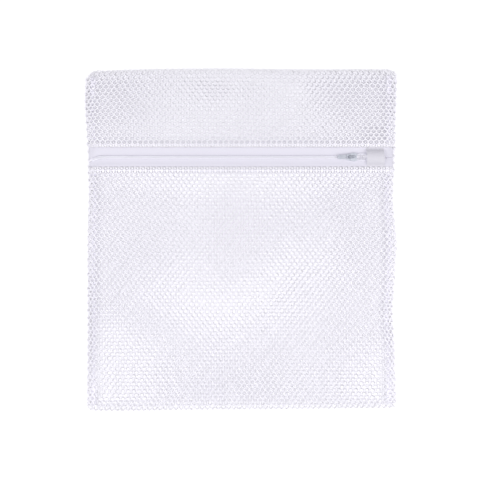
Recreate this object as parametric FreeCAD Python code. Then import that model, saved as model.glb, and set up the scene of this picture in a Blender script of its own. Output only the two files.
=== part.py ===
"""Zipped mesh laundry bag, lying flat with its zipper side up.

One length of knitted net is turned over at the top and at the bottom of the bag, and its two cut
edges are hemmed and sewn to the tapes of a nylon coil zipper that crosses the front. The side
edges are sewn together and turned inside. A strip of elastic arches over the closed end of the
zipper as a pocket for the slider, and its tail runs on under the net above the zipper.

Millimetres. X runs across the bag, Y up it towards the short part above the zipper, and Z up from
the surface that the bag lies on. The origin is the centre of the base.
The slider stands a little short of the pocket: the zipper is closed on its left and open on its
right, as far as the side seam.
"""

import FreeCAD
import Part
import math
import os

# Bag
BAG_WIDTH = 300.0
BAG_LENGTH = 331.0
BAG_HEIGHT = 9.8          # top of the net, over the flat middle
NET = 0.9                 # thickness of one layer of net
FOLD_RADIUS = 2.2         # outer radius of the folded rim, all round
SIDE_SLOPE = 40.0         # degrees, from the side rim up to the flat middle
SIDE_BLEND = 6.0          # radius where that slope meets the flat middle
END_SLOPE = 8.0           # the same at the top and bottom of the bag
END_BLEND = 120.0

# Layers at the zipper, upwards
TAPE_BOTTOM = 6.95
TAPE = 0.45
STRIP = 0.5               # elastic of the slider pocket
COIL = 1.65
COIL_THREAD = 0.15
TAPE_TOP = TAPE_BOTTOM + TAPE
COIL_TOP = TAPE_TOP + COIL

# Zipper, seen from above; each half is measured outwards from the zipper's centre line
ZIP_Y = 80.9
HEM_INNER = 9.3           # edge of the hem, where the bare tape starts
HEM_OUTER = 15.7
TAPE_INNER = 1.1
TAPE_OUTER = 15.0
TAPE_END = 146.2
HEM_END = 147.0
COIL_TIP = -0.25          # a tooth reaches past the centre line, between the other coil's teeth
COIL_BACK = 0.45          # root of the teeth
COIL_OUTER = 2.05
CORD_INNER = 0.9
CORD_OUTER = 1.5
CORD_BOTTOM = TAPE_TOP + 0.5
CORD_TOP = CORD_BOTTOM + 0.6
CORD_GAP = 0.05           # room round the cord in its tunnel
SEWN_INNER = 1.4          # the thread that sews each coil to its tape
SEWN_OUTER = 1.7
TOOTH_PITCH = 1.5
TOOTH_WIDTH = 0.65
COIL_END = 137.0
CHAIN_OPENING = 2.2       # how far each coil stands off the centre line once it has parted
OPENING_LENGTH = 12.5     # over this length, through the slider and past it
OPENING_STEPS = 8
TAPE_DRAWN = TAPE_INNER + CHAIN_OPENING - 0.7  # the tape's inner edge where the chain has parted

# Slider, about its own centre
SLIDER_X = 108.9
OPENING_START = SLIDER_X - 4.0
PLATE = 0.8
UNDER_PLATE_TOP = TAPE_BOTTOM - 0.3
TOP_PLATE_BOTTOM = COIL_TOP + 0.3
TOP_PLATE_TOP = TOP_PLATE_BOTTOM + PLATE
FLANGE_BOTTOM = TAPE_TOP + 0.3
CROWN_HALF_LENGTH = 3.3
CROWN_HALF_WIDTH = 1.3
CROWN = 0.55
CROWN_HEIGHT = 2.1
CROWN_CORNER = 1.0
PLATE_HALF = [(-5.0, 2.2), (-4.2, 3.0), (2.2, 4.2), (4.2, 4.0), (5.0, 2.8)]  # outline above the centre line
CHANNEL_HALF = [(-6.0, 2.35), (3.6, 3.6), (6.0, 3.6)]  # room for the coils between the flanges
POST_HALF = [(0.4, 0.05), (1.6, 0.6), (2.8, 0.8), (4.0, 0.6), (4.8, 0.1)]
FLANGE_END = 3.8          # the flanges stop here, and the coils come in past them
PLATE_ROUNDING = 0.25
LUG_START = 1.7           # the lug fills the right end of the crown
LUG_HALF_WIDTH = 1.2
LUG_HEIGHT = 1.1
PRONG_HALF_WIDTH = 0.3
PRONG_GAP = 0.2           # room round the prong where it passes through the top plate

# Pull tab, about the axis of its bar
BAR_X = SLIDER_X - 0.6
BAR_Z = TOP_PLATE_TOP + 0.8
BAR_RADIUS = 0.5
TAB_THICKNESS = 0.9
TAB_HALF_WIDTH = 2.4
# outline above the centre line, outwards from the bar
TAB_HALF = [(0.0, TAB_HALF_WIDTH), (5.0, TAB_HALF_WIDTH), (6.4, 2.0), (11.0, 2.3), (12.6, 1.9), (13.5, 0.9)]
TAB_ROUNDING = 0.2
TAB_EYE_HALF_WIDTH = 1.6  # the eye in the tab that the crown stands in
TAB_EYE_LENGTH = 5.0
TAB_DROOP = 2.0           # degrees below level at rest

# Slider pocket
POCKET_LEFT = 122.6
POCKET_RIGHT = 139.9
POCKET_SPAN = 9.8         # the arch is this far each side of the centre line
POCKET_RISE = 5.4
POCKET_FOOT_RADIUS = 4.0
POCKET_LOWER_END = 14.5
POCKET_TAIL_END = 28.3

# Side seams and threads
ALLOWANCE_OUTER = 147.6
ALLOWANCE_INNER = 141.0
ALLOWANCE_BOTTOM = NET + 0.05
ALLOWANCE_HALF_LENGTH = 161.0
OVERLOCK = 0.3
OVERLOCK_REACH = 3.0
TOPSTITCH_OFFSET = 12.6   # from the zipper's centre line, in the middle of the hem
TOPSTITCH_HALF_WIDTH = 0.2
TOPSTITCH_PITCH = 3.0
TOPSTITCH_LENGTH = 2.3
TOPSTITCH_HEIGHT = 0.3
TOPSTITCH_DIP = 0.12
TOPSTITCH_HALF_LENGTH = 138.0

HALF_WIDTH = BAG_WIDTH / 2
HALF_LENGTH = BAG_LENGTH / 2


def save(name, shape):
    """Writes one named sub-part and prints its volume."""
    os.makedirs("parts", exist_ok=True)
    clean = shape.removeSplitter()
    clean.exportStep(f"parts/{name}.step")
    print(f"{name}: {len(clean.Solids)} solid, {clean.Volume:.1f} mm3, valid {clean.isValid()}")


def box(low, high):
    """A block between two corners."""
    size = [b - a for a, b in zip(low, high)]
    return Part.makeBox(*size, FreeCAD.Vector(*low))


def line(a, b):
    return Part.LineSegment(a, b).toShape()


def arc(a, b, c):
    """The circular edge through three points."""
    return Part.Arc(a, b, c).toShape()


def plan_prism(points, bottom, top):
    """A prism on a polygon drawn in plan."""
    corners = [FreeCAD.Vector(x, y, bottom) for x, y in points]
    wire = Part.makePolygon(corners + corners[:1])
    return Part.Face(wire).extrude(FreeCAD.Vector(0, 0, top - bottom))


def mirrored(points):
    """The outline's half above the centre line, and the same half below it."""
    return points + [(x, -y) for x, y in reversed(points)]


class Rim:
    """Half the bag's cross-section from a folded rim up to the flat middle, at any depth below the
    outer skin. `out` is the distance from the middle of the bag."""

    def __init__(self, half, slope, blend):
        self.slope = math.radians(slope)
        self.blend = blend
        self.centre = half - FOLD_RADIUS
        rise_end = BAG_HEIGHT - blend * (1 - math.cos(self.slope))
        rim_out = self.centre + FOLD_RADIUS * math.sin(self.slope)
        rim_up = FOLD_RADIUS * (1 + math.cos(self.slope))
        run = (rise_end - rim_up) / math.tan(self.slope)
        self.flat = rim_out - run - blend * math.sin(self.slope)

    def on_blend(self, depth, angle):
        """A point on the arc into the flat middle; angle 0 is where it becomes flat."""
        radius = self.blend - depth
        up = BAG_HEIGHT - self.blend + radius * math.cos(angle)
        return self.flat + radius * math.sin(angle), up

    def on_fold(self, depth, angle):
        """A point on the folded rim; angle 0 is level with its centre."""
        radius = FOLD_RADIUS - depth
        return self.centre + radius * math.cos(angle), FOLD_RADIUS + radius * math.sin(angle)

    def on_slope(self, depth, out):
        """The height of the sloping part, that far out."""
        start_out, start_up = self.on_blend(depth, self.slope)
        return out, start_up - (out - start_out) * math.tan(self.slope)


SIDE = Rim(HALF_WIDTH, SIDE_SLOPE, SIDE_BLEND)
END = Rim(HALF_LENGTH, END_SLOPE, END_BLEND)


def cross_section(rim, depth, place):
    """The closed outline of the whole bag at that depth below its skin, from rim to rim."""
    def at(side, point):
        return place(side * point[0], point[1])

    edges = []
    fold_end = math.pi / 2 - rim.slope
    for side in (1, -1):
        low = at(side, rim.on_fold(depth, -math.pi / 2))
        fold_middle = at(side, rim.on_fold(depth, -rim.slope / 2))
        fold_top = at(side, rim.on_fold(depth, fold_end))
        rise_top = at(side, rim.on_blend(depth, rim.slope))
        blend_middle = at(side, rim.on_blend(depth, rim.slope / 2))
        flat = at(side, rim.on_blend(depth, 0))
        edges += [arc(low, fold_middle, fold_top), line(fold_top, rise_top)]
        edges.append(arc(rise_top, blend_middle, flat))
    top = [place(s * rim.flat, BAG_HEIGHT - depth) for s in (1, -1)]
    bottom = [place(s * rim.centre, depth) for s in (1, -1)]
    edges += [line(*top), line(*bottom)]
    return Part.Face(Part.Wire(Part.__sortEdges__(edges)))


def envelope(depth):
    """The solid inside the bag's skin, or inside a surface that far below it."""
    def across(out, up):
        return FreeCAD.Vector(out, -HALF_LENGTH, up)

    def along(out, up):
        return FreeCAD.Vector(-HALF_WIDTH, out, up)

    sides = cross_section(SIDE, depth, across).extrude(FreeCAD.Vector(0, BAG_LENGTH, 0))
    ends = cross_section(END, depth, along).extrude(FreeCAD.Vector(BAG_WIDTH, 0, 0))
    return sides.common(ends)


def band(depth_top, depth_bottom, reach, low_y, high_y):
    """A layer between two depths below the skin, that far out to both sides, cut to a strip."""
    def face_edges(depth):
        def at(side, point):
            return FreeCAD.Vector(side * point[0], low_y, point[1])

        edges = []
        for side in (1, -1):
            end = at(side, SIDE.on_slope(depth, reach))
            rise_top = at(side, SIDE.on_blend(depth, SIDE.slope))
            middle = at(side, SIDE.on_blend(depth, SIDE.slope / 2))
            flat = at(side, SIDE.on_blend(depth, 0))
            edges += [line(end, rise_top), arc(rise_top, middle, flat)]
        edges.append(line(at(1, SIDE.on_blend(depth, 0)), at(-1, SIDE.on_blend(depth, 0))))
        return edges

    edges = face_edges(depth_top) + face_edges(depth_bottom)
    for side in (1, -1):
        high = SIDE.on_slope(depth_top, reach)
        low = SIDE.on_slope(depth_bottom, reach)
        ends = [FreeCAD.Vector(side * p[0], low_y, p[1]) for p in (high, low)]
        edges.append(line(*ends))
    face = Part.Face(Part.Wire(Part.__sortEdges__(edges)))
    return face.extrude(FreeCAD.Vector(0, high_y - low_y, 0))


def parting(x):
    """How far a coil stands off its closed place: nothing on the left, more through the slider."""
    t = min(1.0, max(0.0, (x - OPENING_START) / OPENING_LENGTH))
    return CHAIN_OPENING * t * t * (3 - 2 * t)


def halves(build, name):
    """Makes and saves the upper and the lower half of something on the zipper."""
    save(f"{name}_upper", build(1))
    save(f"{name}_lower", build(-1))


def on_zipper(points, side):
    """Moves outline points from the upper half's own frame to the bag."""
    return [(x, ZIP_Y + side * y) for x, y in points]


# Net panels


def make_panels():
    skin = envelope(0).cut(envelope(NET))
    corner = (SIDE.centre, END.centre)
    back = box((-corner[0], -corner[1], 0), (corner[0], corner[1], NET))
    front = skin.cut(back)
    split = ZIP_Y + HEM_INNER
    bounds = (HALF_WIDTH + 1, HALF_LENGTH + 1, BAG_HEIGHT + 1)
    upper_room = box((-bounds[0], split, -1), bounds)
    slot_bottom = ALLOWANCE_BOTTOM + 2 * NET + 0.1
    slot = box((-TAPE_END - 0.1, ZIP_Y - HEM_INNER, slot_bottom), (TAPE_END + 0.1, split, bounds[2]))
    save("back_panel", back)
    save("front_upper_panel", front.common(upper_room))
    save("front_lower_panel", front.cut(upper_room).cut(slot))


def make_hem(side):
    inner, outer = ZIP_Y + side * HEM_INNER, ZIP_Y + side * HEM_OUTER
    return band(NET, 2 * NET, HEM_END, min(inner, outer), max(inner, outer))


def make_topstitch(side):
    """The thread of the seam that holds hem and tape together: raised stitches and low dips."""
    count = int(2 * TOPSTITCH_HALF_LENGTH / TOPSTITCH_PITCH)
    low, high = BAG_HEIGHT + TOPSTITCH_DIP, BAG_HEIGHT + TOPSTITCH_HEIGHT
    middle = ZIP_Y + side * TOPSTITCH_OFFSET
    top = []
    for i in range(count):
        start = -TOPSTITCH_HALF_LENGTH + i * TOPSTITCH_PITCH
        end = start + TOPSTITCH_LENGTH
        top += [(start, low), (start, high), (end, high), (end, low)]
    outline = [(top[0][0], BAG_HEIGHT)] + top + [(top[-1][0], BAG_HEIGHT)]
    corners = [FreeCAD.Vector(x, middle - TOPSTITCH_HALF_WIDTH, z) for x, z in outline]
    face = Part.Face(Part.makePolygon(corners + corners[:1]))
    return face.extrude(FreeCAD.Vector(0, 2 * TOPSTITCH_HALF_WIDTH, 0))


# Side seams, inside the bag


def make_allowance(side):
    ends = sorted((side * ALLOWANCE_INNER, side * ALLOWANCE_OUTER))
    low = (ends[0], -ALLOWANCE_HALF_LENGTH, ALLOWANCE_BOTTOM)
    return box(low, (ends[1], ALLOWANCE_HALF_LENGTH, ALLOWANCE_BOTTOM + 2 * NET))


def make_overlock(side):
    """The thread round the raw edges of the seam allowance, as one angle-shaped strip."""
    top = ALLOWANCE_BOTTOM + 2 * NET
    outline = [
        (ALLOWANCE_INNER - OVERLOCK, ALLOWANCE_BOTTOM),
        (ALLOWANCE_INNER, ALLOWANCE_BOTTOM),
        (ALLOWANCE_INNER, top),
        (ALLOWANCE_INNER + OVERLOCK_REACH, top),
        (ALLOWANCE_INNER + OVERLOCK_REACH, top + OVERLOCK),
        (ALLOWANCE_INNER - OVERLOCK, top + OVERLOCK),
    ]
    corners = [FreeCAD.Vector(side * x, -ALLOWANCE_HALF_LENGTH, z) for x, z in outline]
    face = Part.Face(Part.makePolygon(corners + corners[:1]))
    return face.extrude(FreeCAD.Vector(0, 2 * ALLOWANCE_HALF_LENGTH, 0))


# Zipper


def make_tape(side):
    """A woven tape, whose inner edge draws back where the chain has parted."""
    inner, outer = ZIP_Y + side * (TAPE_INNER / 2), ZIP_Y + side * TAPE_OUTER
    depth = BAG_HEIGHT - TAPE_TOP
    layer = band(depth, depth + TAPE, TAPE_END, min(inner, outer), max(inner, outer))
    outline = [
        (-HALF_WIDTH, TAPE_INNER),
        (SLIDER_X - 2, TAPE_INNER),
        (SLIDER_X + 9, TAPE_DRAWN),
        (HALF_WIDTH, TAPE_DRAWN),
        (HALF_WIDTH, TAPE_OUTER),
        (-HALF_WIDTH, TAPE_OUTER),
    ]
    return layer.common(plan_prism(on_zipper(outline, side), 0, BAG_HEIGHT))


def opening_stations():
    return [OPENING_START + OPENING_LENGTH * i / OPENING_STEPS for i in range(OPENING_STEPS + 1)]


def chain_line(offset, x):
    """A point on a line that runs along a coil, that far from the zipper's centre when closed."""
    return x, offset + parting(x)


def chain_strip(inner, outer, bottom, top, side, end=COIL_END):
    """A strip that follows a coil and parts with it."""
    stations = [-end] + opening_stations() + [end]
    outline = [chain_line(inner, x) for x in stations]
    outline += [chain_line(outer, x) for x in reversed(stations)]
    return plan_prism(on_zipper(outline, side), bottom, top)


def make_coil(side):
    """A nylon coil, with its loops as the teeth of a comb, hollow for the cord inside it."""
    shift = 0.0 if side > 0 else TOOTH_PITCH / 2
    count = int((2 * COIL_END - 1) / TOOTH_PITCH)
    comb = [chain_line(COIL_BACK, -COIL_END)]
    for i in range(count):
        middle = -COIL_END + 0.6 + shift + i * TOOTH_PITCH
        off = parting(middle)
        left, right = middle - TOOTH_WIDTH / 2, middle + TOOTH_WIDTH / 2
        comb += [(left, COIL_BACK + off), (left, COIL_TIP + off)]
        comb += [(right, COIL_TIP + off), (right, COIL_BACK + off)]
    comb.append(chain_line(COIL_BACK, COIL_END))
    back = [COIL_END] + opening_stations()[::-1] + [-COIL_END]
    comb += [chain_line(COIL_OUTER, x) for x in back]
    solid = plan_prism(on_zipper(comb, side), TAPE_TOP, COIL_TOP)
    tunnel = chain_strip(
        CORD_INNER - CORD_GAP, CORD_OUTER + CORD_GAP,
        CORD_BOTTOM - CORD_GAP, CORD_TOP + CORD_GAP, side, COIL_END + 1,
    )
    return solid.cut(tunnel)


def make_cord(side):
    return chain_strip(CORD_INNER, CORD_OUTER, CORD_BOTTOM, CORD_TOP, side)


def make_coil_thread(side):
    return chain_strip(SEWN_INNER, SEWN_OUTER, COIL_TOP, COIL_TOP + COIL_THREAD, side)


# Slider


def slider_point(x, y):
    return SLIDER_X + x, ZIP_Y + y


def make_slider_body():
    """Two shield-shaped plates joined by the post that parts the coils, with two guiding flanges."""
    outline = [slider_point(x, y) for x, y in mirrored(PLATE_HALF)]
    under = plan_prism(outline, UNDER_PLATE_TOP - PLATE, UNDER_PLATE_TOP)
    top = plan_prism(outline, TOP_PLATE_BOTTOM, TOP_PLATE_TOP)
    channel = [slider_point(x, y) for x, y in mirrored(CHANNEL_HALF)]
    flanges = plan_prism(outline, FLANGE_BOTTOM, TOP_PLATE_BOTTOM)
    flanges = flanges.cut(plan_prism(channel, FLANGE_BOTTOM, TOP_PLATE_BOTTOM))
    nose = box((SLIDER_X + FLANGE_END, ZIP_Y - 6, 0), (SLIDER_X + 6, ZIP_Y + 6, BAG_HEIGHT))
    flanges = flanges.cut(nose)
    post_outline = [slider_point(x, y) for x, y in mirrored(POST_HALF)]
    post = plan_prism(post_outline, UNDER_PLATE_TOP, TOP_PLATE_BOTTOM)
    upper_rim = [e for e in top.Edges if e.CenterOfMass.z > TOP_PLATE_TOP - 0.01]
    top = top.makeFillet(PLATE_ROUNDING, upper_rim)
    lower_rim = [e for e in under.Edges if e.CenterOfMass.z < UNDER_PLATE_TOP - PLATE + 0.01]
    under = under.makeFillet(PLATE_ROUNDING, lower_rim)
    lug_end = SLIDER_X + CROWN_HALF_LENGTH - CROWN - 0.05
    lug = box(
        (SLIDER_X + LUG_START, ZIP_Y - LUG_HALF_WIDTH, TOP_PLATE_TOP - 0.1),
        (lug_end, ZIP_Y + LUG_HALF_WIDTH, TOP_PLATE_TOP + LUG_HEIGHT),
    )
    body = under.fuse([post, flanges, top, lug])
    prong_x = SLIDER_X - CROWN_HALF_LENGTH
    hole_half = PRONG_HALF_WIDTH + PRONG_GAP
    prong_hole = box(
        (prong_x - PRONG_GAP, ZIP_Y - hole_half, TOP_PLATE_BOTTOM - 0.1),
        (prong_x + CROWN + PRONG_GAP, ZIP_Y + hole_half, TOP_PLATE_TOP + 0.1),
    )
    return body.cut(prong_hole)


def make_crown():
    """The bent spring that holds the pull tab, with the prong that locks between the teeth."""
    def arch(inset):
        radius = CROWN_CORNER - inset
        reach, high = CROWN_HALF_LENGTH - inset, TOP_PLATE_TOP + CROWN_HEIGHT - inset
        bend = radius * (1 - math.sqrt(0.5))

        def at(x, z):
            return FreeCAD.Vector(SLIDER_X + x, ZIP_Y - CROWN_HALF_WIDTH, z)

        edges = []
        for s in (1, -1):
            foot, shoulder = at(s * reach, TOP_PLATE_TOP), at(s * reach, high - radius)
            crest = at(s * (reach - radius), high)
            edges += [line(foot, shoulder), arc(shoulder, at(s * (reach - bend), high - bend), crest)]
        edges.append(line(at(reach - radius, high), at(radius - reach, high)))
        edges.append(line(at(reach, TOP_PLATE_TOP), at(-reach, TOP_PLATE_TOP)))
        face = Part.Face(Part.Wire(Part.__sortEdges__(edges)))
        return face.extrude(FreeCAD.Vector(0, 2 * CROWN_HALF_WIDTH, 0))

    spring = arch(0).cut(arch(CROWN))
    rim = [e for e in spring.Edges if e.CenterOfMass.z > TOP_PLATE_TOP + CROWN_HEIGHT - 0.02]
    spring = spring.makeFillet(0.15, rim)
    prong = box(
        (SLIDER_X - CROWN_HALF_LENGTH, ZIP_Y - PRONG_HALF_WIDTH, COIL_TOP + 0.2),
        (SLIDER_X - CROWN_HALF_LENGTH + CROWN, ZIP_Y + PRONG_HALF_WIDTH, TOP_PLATE_TOP + 0.3),
    )
    return spring.fuse(prong)


def make_pull_tab():
    """A flat leaf that lies to the left, with an eye round the crown and a bar under it."""
    outline = [(BAR_X - u, ZIP_Y + y) for u, y in mirrored(TAB_HALF)]
    low, high = BAR_Z - TAB_THICKNESS / 2, BAR_Z + TAB_THICKNESS / 2
    leaf = plan_prism(outline, low, high)
    eye = box(
        (BAR_X - TAB_EYE_LENGTH, ZIP_Y - TAB_EYE_HALF_WIDTH, low - 1),
        (BAR_X + 1, ZIP_Y + TAB_EYE_HALF_WIDTH, high + 1),
    )
    leaf = leaf.cut(eye)
    rims = [e for e in leaf.Edges if abs(e.CenterOfMass.z - BAR_Z) > TAB_THICKNESS / 2 - 0.01]
    outer = [e for e in rims if e.BoundBox.XMax < BAR_X - 0.1]
    leaf = leaf.makeFillet(TAB_ROUNDING, outer)
    bar = Part.makeCylinder(
        BAR_RADIUS, 2 * TAB_HALF_WIDTH,
        FreeCAD.Vector(BAR_X, ZIP_Y - TAB_HALF_WIDTH, BAR_Z), FreeCAD.Vector(0, 1, 0),
    )
    tab = leaf.fuse(bar)
    tab.rotate(FreeCAD.Vector(BAR_X, ZIP_Y, BAR_Z), FreeCAD.Vector(0, 1, 0), -TAB_DROOP)
    return tab


# Slider pocket


def make_pocket():
    """An elastic strip that arches over the zipper; both ends lie between hem and tape."""
    level = TAPE_TOP + 0.05 + STRIP / 2
    centres = (POCKET_SPAN ** 2 + POCKET_RISE ** 2) / (2 * POCKET_RISE)
    crest_radius = centres - POCKET_FOOT_RADIUS
    crest_z = level + POCKET_RISE - crest_radius
    lean = math.acos((level + POCKET_FOOT_RADIUS - crest_z) / centres)

    def at(y, z):
        return FreeCAD.Vector(POCKET_LEFT, ZIP_Y + y, z)

    def foot(side, lift, angle):
        radius = POCKET_FOOT_RADIUS - lift
        y = POCKET_SPAN - radius * math.sin(angle)
        return at(side * y, level + POCKET_FOOT_RADIUS - radius * math.cos(angle))

    def crest(lift, angle):
        radius = crest_radius + lift
        return at(radius * math.sin(angle), crest_z + radius * math.cos(angle))

    edges = []
    tails = ((1, POCKET_TAIL_END), (-1, POCKET_LOWER_END))
    for lift in (STRIP / 2, -STRIP / 2):
        for side, end in tails:
            edges.append(line(at(side * end, level + lift), at(side * POCKET_SPAN, level + lift)))
            start, finish = foot(side, lift, 0), foot(side, lift, lean)
            edges.append(arc(start, foot(side, lift, lean / 2), finish))
        edges.append(arc(crest(lift, -lean), crest(lift, 0), crest(lift, lean)))
    for side, end in tails:
        edges.append(line(at(side * end, level + STRIP / 2), at(side * end, level - STRIP / 2)))
    face = Part.Face(Part.Wire(Part.__sortEdges__(edges)))
    return face.extrude(FreeCAD.Vector(POCKET_RIGHT - POCKET_LEFT, 0, 0))


make_panels()
save("upper_hem", make_hem(1))
save("lower_hem", make_hem(-1))
save("upper_topstitch", make_topstitch(1))
save("lower_topstitch", make_topstitch(-1))
save("left_seam_allowance", make_allowance(-1))
save("right_seam_allowance", make_allowance(1))
save("left_overlock_thread", make_overlock(-1))
save("right_overlock_thread", make_overlock(1))
halves(make_tape, "zipper_tape")
halves(make_coil, "zipper_coil")
halves(make_cord, "coil_core_cord")
halves(make_coil_thread, "coil_thread")
save("slider_pocket", make_pocket())
save("slider_body", make_slider_body())
save("slider_crown", make_crown())
save("pull_tab", make_pull_tab())
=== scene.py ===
# %% [markdown]
# # A zipped mesh laundry bag
#
# The bag is one length of knitted net. It is turned over at the top and at the bottom, sewn up both sides, and its
# two cut edges are hemmed onto a zipper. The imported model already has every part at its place, and this script
# gives each one its real surface: yarns, weave, coils and stitches.
#
# The eye reads net by what shows through it, the far layer and the ground, so every hole here is a real hole.

# %% Load the frame
import math

import bmesh
import bpy
import numpy as np
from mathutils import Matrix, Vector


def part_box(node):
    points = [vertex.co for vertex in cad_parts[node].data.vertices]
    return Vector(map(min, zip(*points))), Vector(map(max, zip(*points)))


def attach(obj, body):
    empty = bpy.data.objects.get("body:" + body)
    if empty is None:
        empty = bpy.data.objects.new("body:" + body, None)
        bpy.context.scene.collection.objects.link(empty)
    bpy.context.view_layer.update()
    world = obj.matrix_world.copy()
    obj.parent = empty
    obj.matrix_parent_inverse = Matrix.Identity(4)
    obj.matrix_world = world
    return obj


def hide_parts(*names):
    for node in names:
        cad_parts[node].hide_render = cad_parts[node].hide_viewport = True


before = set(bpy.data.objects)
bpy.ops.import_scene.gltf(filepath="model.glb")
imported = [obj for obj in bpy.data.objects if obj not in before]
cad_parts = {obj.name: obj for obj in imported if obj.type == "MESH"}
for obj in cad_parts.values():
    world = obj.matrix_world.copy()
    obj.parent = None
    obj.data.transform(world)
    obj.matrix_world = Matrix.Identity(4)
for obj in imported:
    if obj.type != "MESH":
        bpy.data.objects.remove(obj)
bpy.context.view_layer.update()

MM = 0.001


def box_mm(node):
    """A CAD node's lowest and highest corners, in millimetres."""
    return [np.array(corner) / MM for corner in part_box(node)]


bag_high = box_mm("front_lower_panel")[1]
upper_high = box_mm("front_upper_panel")[1]
NET = box_mm("back_panel")[1][2]
HALF_WIDTH = bag_high[0]
HALF_LENGTH = upper_high[1]
BAG_HEIGHT = bag_high[2]
tape_low, tape_high = box_mm("zipper_tape_upper")
ZIP_Y = (box_mm("zipper_tape_lower")[0][1] + tape_high[1]) / 2
TAPE_TOP = tape_high[2]
COIL_TOP = box_mm("zipper_coil_upper")[1][2]
HEM_INNER = box_mm("upper_hem")[0][1] - ZIP_Y
HEM_OUTER = box_mm("upper_hem")[1][1] - ZIP_Y
print(f"bag {2 * HALF_WIDTH:.1f} x {2 * HALF_LENGTH:.1f} x {BAG_HEIGHT:.1f} mm, zipper at y {ZIP_Y:.1f} mm")

# %% [markdown]
# ## Camera, light and ground
#
# A long lens straight above keeps the sides of the bag parallel. The light is that of a white studio: a soft lamp
# close by on each side and an even sky. The ground is a lit white table. It gives off a little light of its own, so
# it stays white between the yarns, where two layers of net shade it.

# %% Camera
VIEW_WIDTH = 469.0        # how much the camera takes in at the top of the bag
LENS = 85.0
SENSOR = 36.0
AIM = (-0.5, -0.2)        # from the middle of the bag


def placed(name, data):
    """An object with that data, in the scene."""
    thing = bpy.data.objects.new(name, data)
    bpy.context.scene.collection.objects.link(thing)
    return thing


camera_data = bpy.data.cameras.new("camera")
camera_data.lens = LENS
camera_data.sensor_width = SENSOR
camera = placed("camera", camera_data)
camera_height = BAG_HEIGHT + VIEW_WIDTH * LENS / SENSOR
camera.location = (AIM[0] * MM, AIM[1] * MM, camera_height * MM)
bpy.context.scene.camera = camera
print(f"camera {camera_height / 1000:.2f} m up")

# %% Colours and nodes


def linear(code):
    """An sRGB hex colour as linear red, green, blue and alpha."""
    parts = [int(code[i:i + 2], 16) / 255 for i in (1, 3, 5)]
    return [p / 12.92 if p <= 0.04045 else ((p + 0.055) / 1.055) ** 2.4 for p in parts] + [1.0]


def add(tree, kind, inputs=None, **settings):
    """Adds a node with its settings. An input's value is a number, a colour or another node's output."""
    node = tree.nodes.new(kind)
    for name, value in settings.items():
        setattr(node, name, value)
    for name, value in (inputs or {}).items():
        if isinstance(value, bpy.types.NodeSocket):
            tree.links.new(value, node.inputs[name])
        else:
            node.inputs[name].default_value = value
    return node


def finish(name, colour, roughness, glow=0.0, glow_colour="#F4F1F9", **sockets):
    """A material with its tree and shader. Even values are set on the shader's own sockets."""
    material = bpy.data.materials.new(name)
    material.use_nodes = True
    shader = material.node_tree.nodes["Principled BSDF"]
    values = {"Base Color": linear(colour), "Roughness": roughness, "Emission Color": linear(glow_colour)}
    for socket, value in {**values, "Emission Strength": glow, **sockets}.items():
        shader.inputs[socket.replace("_", " ")].default_value = value
    return material, material.node_tree, shader


# %% Lights and ground
LAMP_PLACE, LAMP_AIM = (0.5, -0.18, 0.72), (0, -0.1, 0)
LAMP_SIZE, LAMP_POWER = 0.6, 4.5
SKY_STRENGTH, TABLE_GLOW = 0.40, 0.20
TABLE_HALF, TABLE_LEVEL = 4.0, -0.3 * MM


def softbox(name, side):
    data = bpy.data.lights.new(name, "AREA")
    data.size = LAMP_SIZE
    data.energy = LAMP_POWER
    data.color = linear("#FFFEFC")[:3]
    lamp = placed(name, data)
    lamp.location = (side * LAMP_PLACE[0], *LAMP_PLACE[1:])
    way = Vector(LAMP_AIM) - lamp.location
    lamp.rotation_euler = way.to_track_quat("-Z", "Y").to_euler()


softbox("left_softbox", -1)
softbox("right_softbox", 1)
world = bpy.data.worlds.new("studio")
world.use_nodes = True
world.node_tree.nodes["Background"].inputs["Color"].default_value = linear("#F5F5FF")
world.node_tree.nodes["Background"].inputs["Strength"].default_value = SKY_STRENGTH
bpy.context.scene.world = world
bpy.context.scene.view_settings.view_transform = "Standard"

# Matt acrylic, lit from below: even, and white enough to show no edge.
table, _, _ = finish("white_acrylic_light_table", "#F4F4F6", 0.9, TABLE_GLOW, "#FFFFFF", Specular_IOR_Level=0.1)
corners = [(-TABLE_HALF, -TABLE_HALF), (TABLE_HALF, -TABLE_HALF), (TABLE_HALF, TABLE_HALF), (-TABLE_HALF, TABLE_HALF)]
ground_mesh = bpy.data.meshes.new("ground")
ground_mesh.from_pydata([(x, y, TABLE_LEVEL) for x, y in corners], [], [(0, 1, 2, 3)])
ground_mesh.materials.append(table)
ground = placed("ground", ground_mesh)
print("one camera, two lamps, a sky and the ground")

# %% [markdown]
# ## Finishes
#
# Everything here is white, and what tells one part from another is how it is made. Knitted yarn is soft and matt
# with a fine ripple of loops, woven tape has a grid of picks and ribs, nylon monofilament is smooth and a little
# glassy, and elastic has ribs along it. The slider is zinc under bright nickel plate, and its crown plated spring
# steel, coloured far darker as painted shade. White polyester has a faint violet cast. The net, the thread, the tapes
# and the elastic glow a little: painted light that lifts their shade. The thread in the coils' grooves is coloured
# greyer and does not glow: painted shade of the groove.

# %% Patterns


def dress(made, factor, shades, height, depth_mm):
    """Colours a finish between two shades by a factor from 0 to 1, and raises a height from 0 to 1 as a bump."""
    material, tree, shader = made
    ramp = add(tree, "ShaderNodeValToRGB", {"Fac": factor})
    for element, shade in zip(ramp.color_ramp.elements, shades):
        element.color = linear(shade)
    bump = add(tree, "ShaderNodeBump", {"Height": height, "Distance": depth_mm * MM, "Strength": 1.0})
    tree.links.new(ramp.outputs["Color"], shader.inputs["Base Color"])
    tree.links.new(bump.outputs["Normal"], shader.inputs["Normal"])
    return material


WAVE_TURN = 20            # radians that the wave texture turns over one unit


def object_place(tree):
    return add(tree, "ShaderNodeTexCoord").outputs["Object"]


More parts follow.
